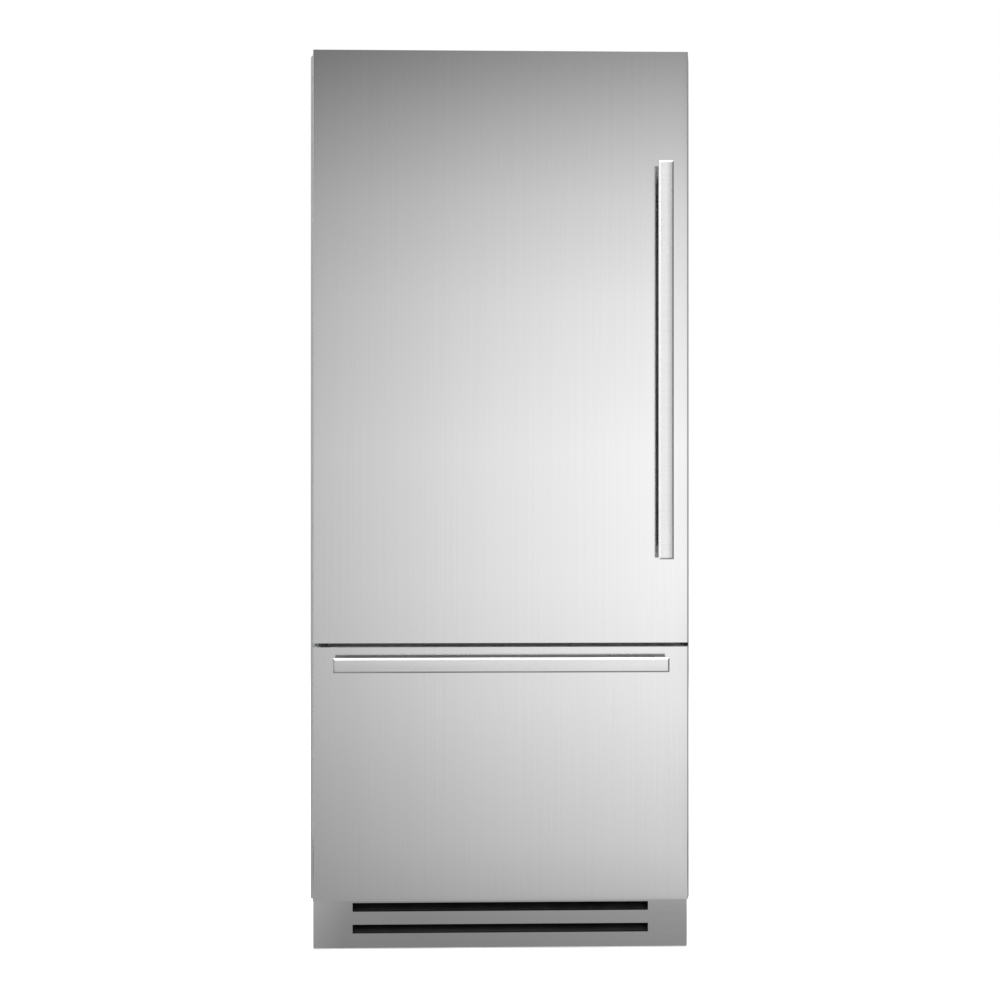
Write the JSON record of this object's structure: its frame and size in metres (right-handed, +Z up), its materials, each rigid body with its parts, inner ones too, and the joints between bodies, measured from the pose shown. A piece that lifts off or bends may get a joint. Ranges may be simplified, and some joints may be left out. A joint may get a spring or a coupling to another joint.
{
  "type": "refrigerator",
  "caption": "Tall built-in bottom-freezer refrigerator with a hinged stainless door over a freezer drawer, flat bar handles and a slotted kick plate.",
  "frame": {"origin": "on the floor, under the middle of the object's box", "axes": "+Z up, +X to the right as seen from the front, the front faces -Y"},
  "size_m": [0.914, 0.6949, 2.154],
  "materials": {
    "brushed_stainless": "satin",
    "grey_coated_steel": "satin",
    "galvanised_steel": "matte",
    "black_steel": "satin",
    "zinc_steel": "satin",
    "insulation_foam": "matte",
    "white_liner": "satin",
    "white_trim": "satin",
    "grey_gasket": "matte",
    "clear_plastic": "gloss",
    "shelf_glass": "gloss",
    "black_plastic": "matte",
    "black_rubber": "matte",
    "bare_aluminium": "satin",
    "white_nylon": "matte"
  },
  "bodies": {
    "cabinet": {"cabinet_wrapper": "grey_coated_steel", "rear_panel": "galvanised_steel", "cabinet_floor": "galvanised_steel", "cabinet_insulation": "insulation_foam", "fridge_liner": "white_liner", "freezer_liner": "white_liner", "mullion_trim": "grey_coated_steel", "base_frame": "galvanised_steel", "kick_plate": "brushed_stainless", "compressor": "black_steel", "compressor_grommets": "black_rubber", "drain_pan": "black_plastic", "condenser": "bare_aluminium", "fan_shroud": "black_plastic", "machine_cover": "galvanised_steel", "evaporator": "bare_aluminium", "evaporator_cover": "white_trim", "air_duct": "white_trim", "control_panel": "white_trim", "upper_hinge": "black_steel", "lower_hinge": "black_steel", "slide_outers": "zinc_steel", "shelf_frame_1": "white_trim", "shelf_frame_2": "white_trim", "shelf_frame_3": "white_trim", "shelf_frame_4": "white_trim", "shelf_glass_1": "shelf_glass", "shelf_glass_2": "shelf_glass", "shelf_glass_3": "shelf_glass", "shelf_glass_4": "shelf_glass"},
    "door": {"door_panel": "brushed_stainless", "door_end_caps": "black_plastic", "door_insulation": "insulation_foam", "door_liner": "white_liner", "door_gasket": "grey_gasket", "door_handle_bar": "brushed_stainless", "door_handle_posts": "brushed_stainless", "hinge_bushes": "black_plastic", "door_bin_1": "clear_plastic", "door_bin_2": "clear_plastic", "door_bin_3": "clear_plastic"},
    "drawer": {"drawer_panel": "brushed_stainless", "drawer_end_caps": "black_plastic", "drawer_insulation": "insulation_foam", "drawer_liner": "white_liner", "drawer_gasket": "grey_gasket", "drawer_handle_bar": "brushed_stainless", "drawer_handle_posts": "brushed_stainless", "slide_inners": "zinc_steel", "freezer_basket": "white_trim"},
    "slide_middle": {"slide_mids": "zinc_steel"},
    "tray": {"freezer_tray": "clear_plastic"},
    "left_crisper": {"crisper_left": "clear_plastic"},
    "right_crisper": {"crisper_right": "clear_plastic"},
    "left_foot": {"foot_left": "zinc_steel"},
    "right_foot": {"foot_right": "zinc_steel"},
    "left_roller": {"roller_left": "white_nylon"},
    "right_roller": {"roller_right": "white_nylon"},
    "cooling_fan": {"condenser_fan": "black_plastic"},
    "cold_air_fan": {"evaporator_fan": "white_nylon"}
  },
  "joints": [
    {"name": "door_swing", "type": "hinge", "parent": "cabinet", "child": "door", "pos_m": [-0.424, -0.2705, 1.444], "axis": [0, 0, -1], "range_deg": [0, 105]},
    {"name": "drawer_slide", "type": "slide", "parent": "cabinet", "child": "drawer", "axis": [0, -1, 0], "range_m": [0, 0.4]},
    {"name": "slide_middle_travel", "type": "slide", "parent": "cabinet", "child": "slide_middle", "axis": [0, -1, 0], "range_m": [0, 0.2]},
    {"name": "tray_slide", "type": "slide", "parent": "drawer", "child": "tray", "axis": [0, 1, 0], "range_m": [0, 0.12]},
    {"name": "left_crisper_slide", "type": "slide", "parent": "cabinet", "child": "left_crisper", "axis": [0, -1, 0], "range_m": [0, 0.075]},
    {"name": "right_crisper_slide", "type": "slide", "parent": "cabinet", "child": "right_crisper", "axis": [0, -1, 0], "range_m": [0, 0.075]},
    {"name": "left_foot_turn", "type": "hinge", "parent": "cabinet", "child": "left_foot", "pos_m": [-0.429, -0.1825, 0.03], "axis": [0, 0, 1], "continuous": true},
    {"name": "right_foot_turn", "type": "hinge", "parent": "cabinet", "child": "right_foot", "pos_m": [0.429, -0.1825, 0.03], "axis": [0, 0, 1], "continuous": true},
    {"name": "left_roller_roll", "type": "hinge", "parent": "cabinet", "child": "left_roller", "pos_m": [-0.429, 0.2775, 0.022], "axis": [1, 0, 0], "continuous": true},
    {"name": "right_roller_roll", "type": "hinge", "parent": "cabinet", "child": "right_roller", "pos_m": [0.429, 0.2775, 0.022], "axis": [1, 0, 0], "continuous": true},
    {"name": "cooling_fan_spin", "type": "hinge", "parent": "cabinet", "child": "cooling_fan", "pos_m": [0, 0.2455, 0.122], "axis": [1, 0, 0], "continuous": true},
    {"name": "cold_air_fan_spin", "type": "hinge", "parent": "cabinet", "child": "cold_air_fan", "pos_m": [0, 0.2852, 0.618], "axis": [0, -1, 0], "continuous": true}
  ],
  "couplings": [
    {"joint": "slide_middle_travel", "follows": "drawer_slide", "ratio": 0.5}
  ]
}
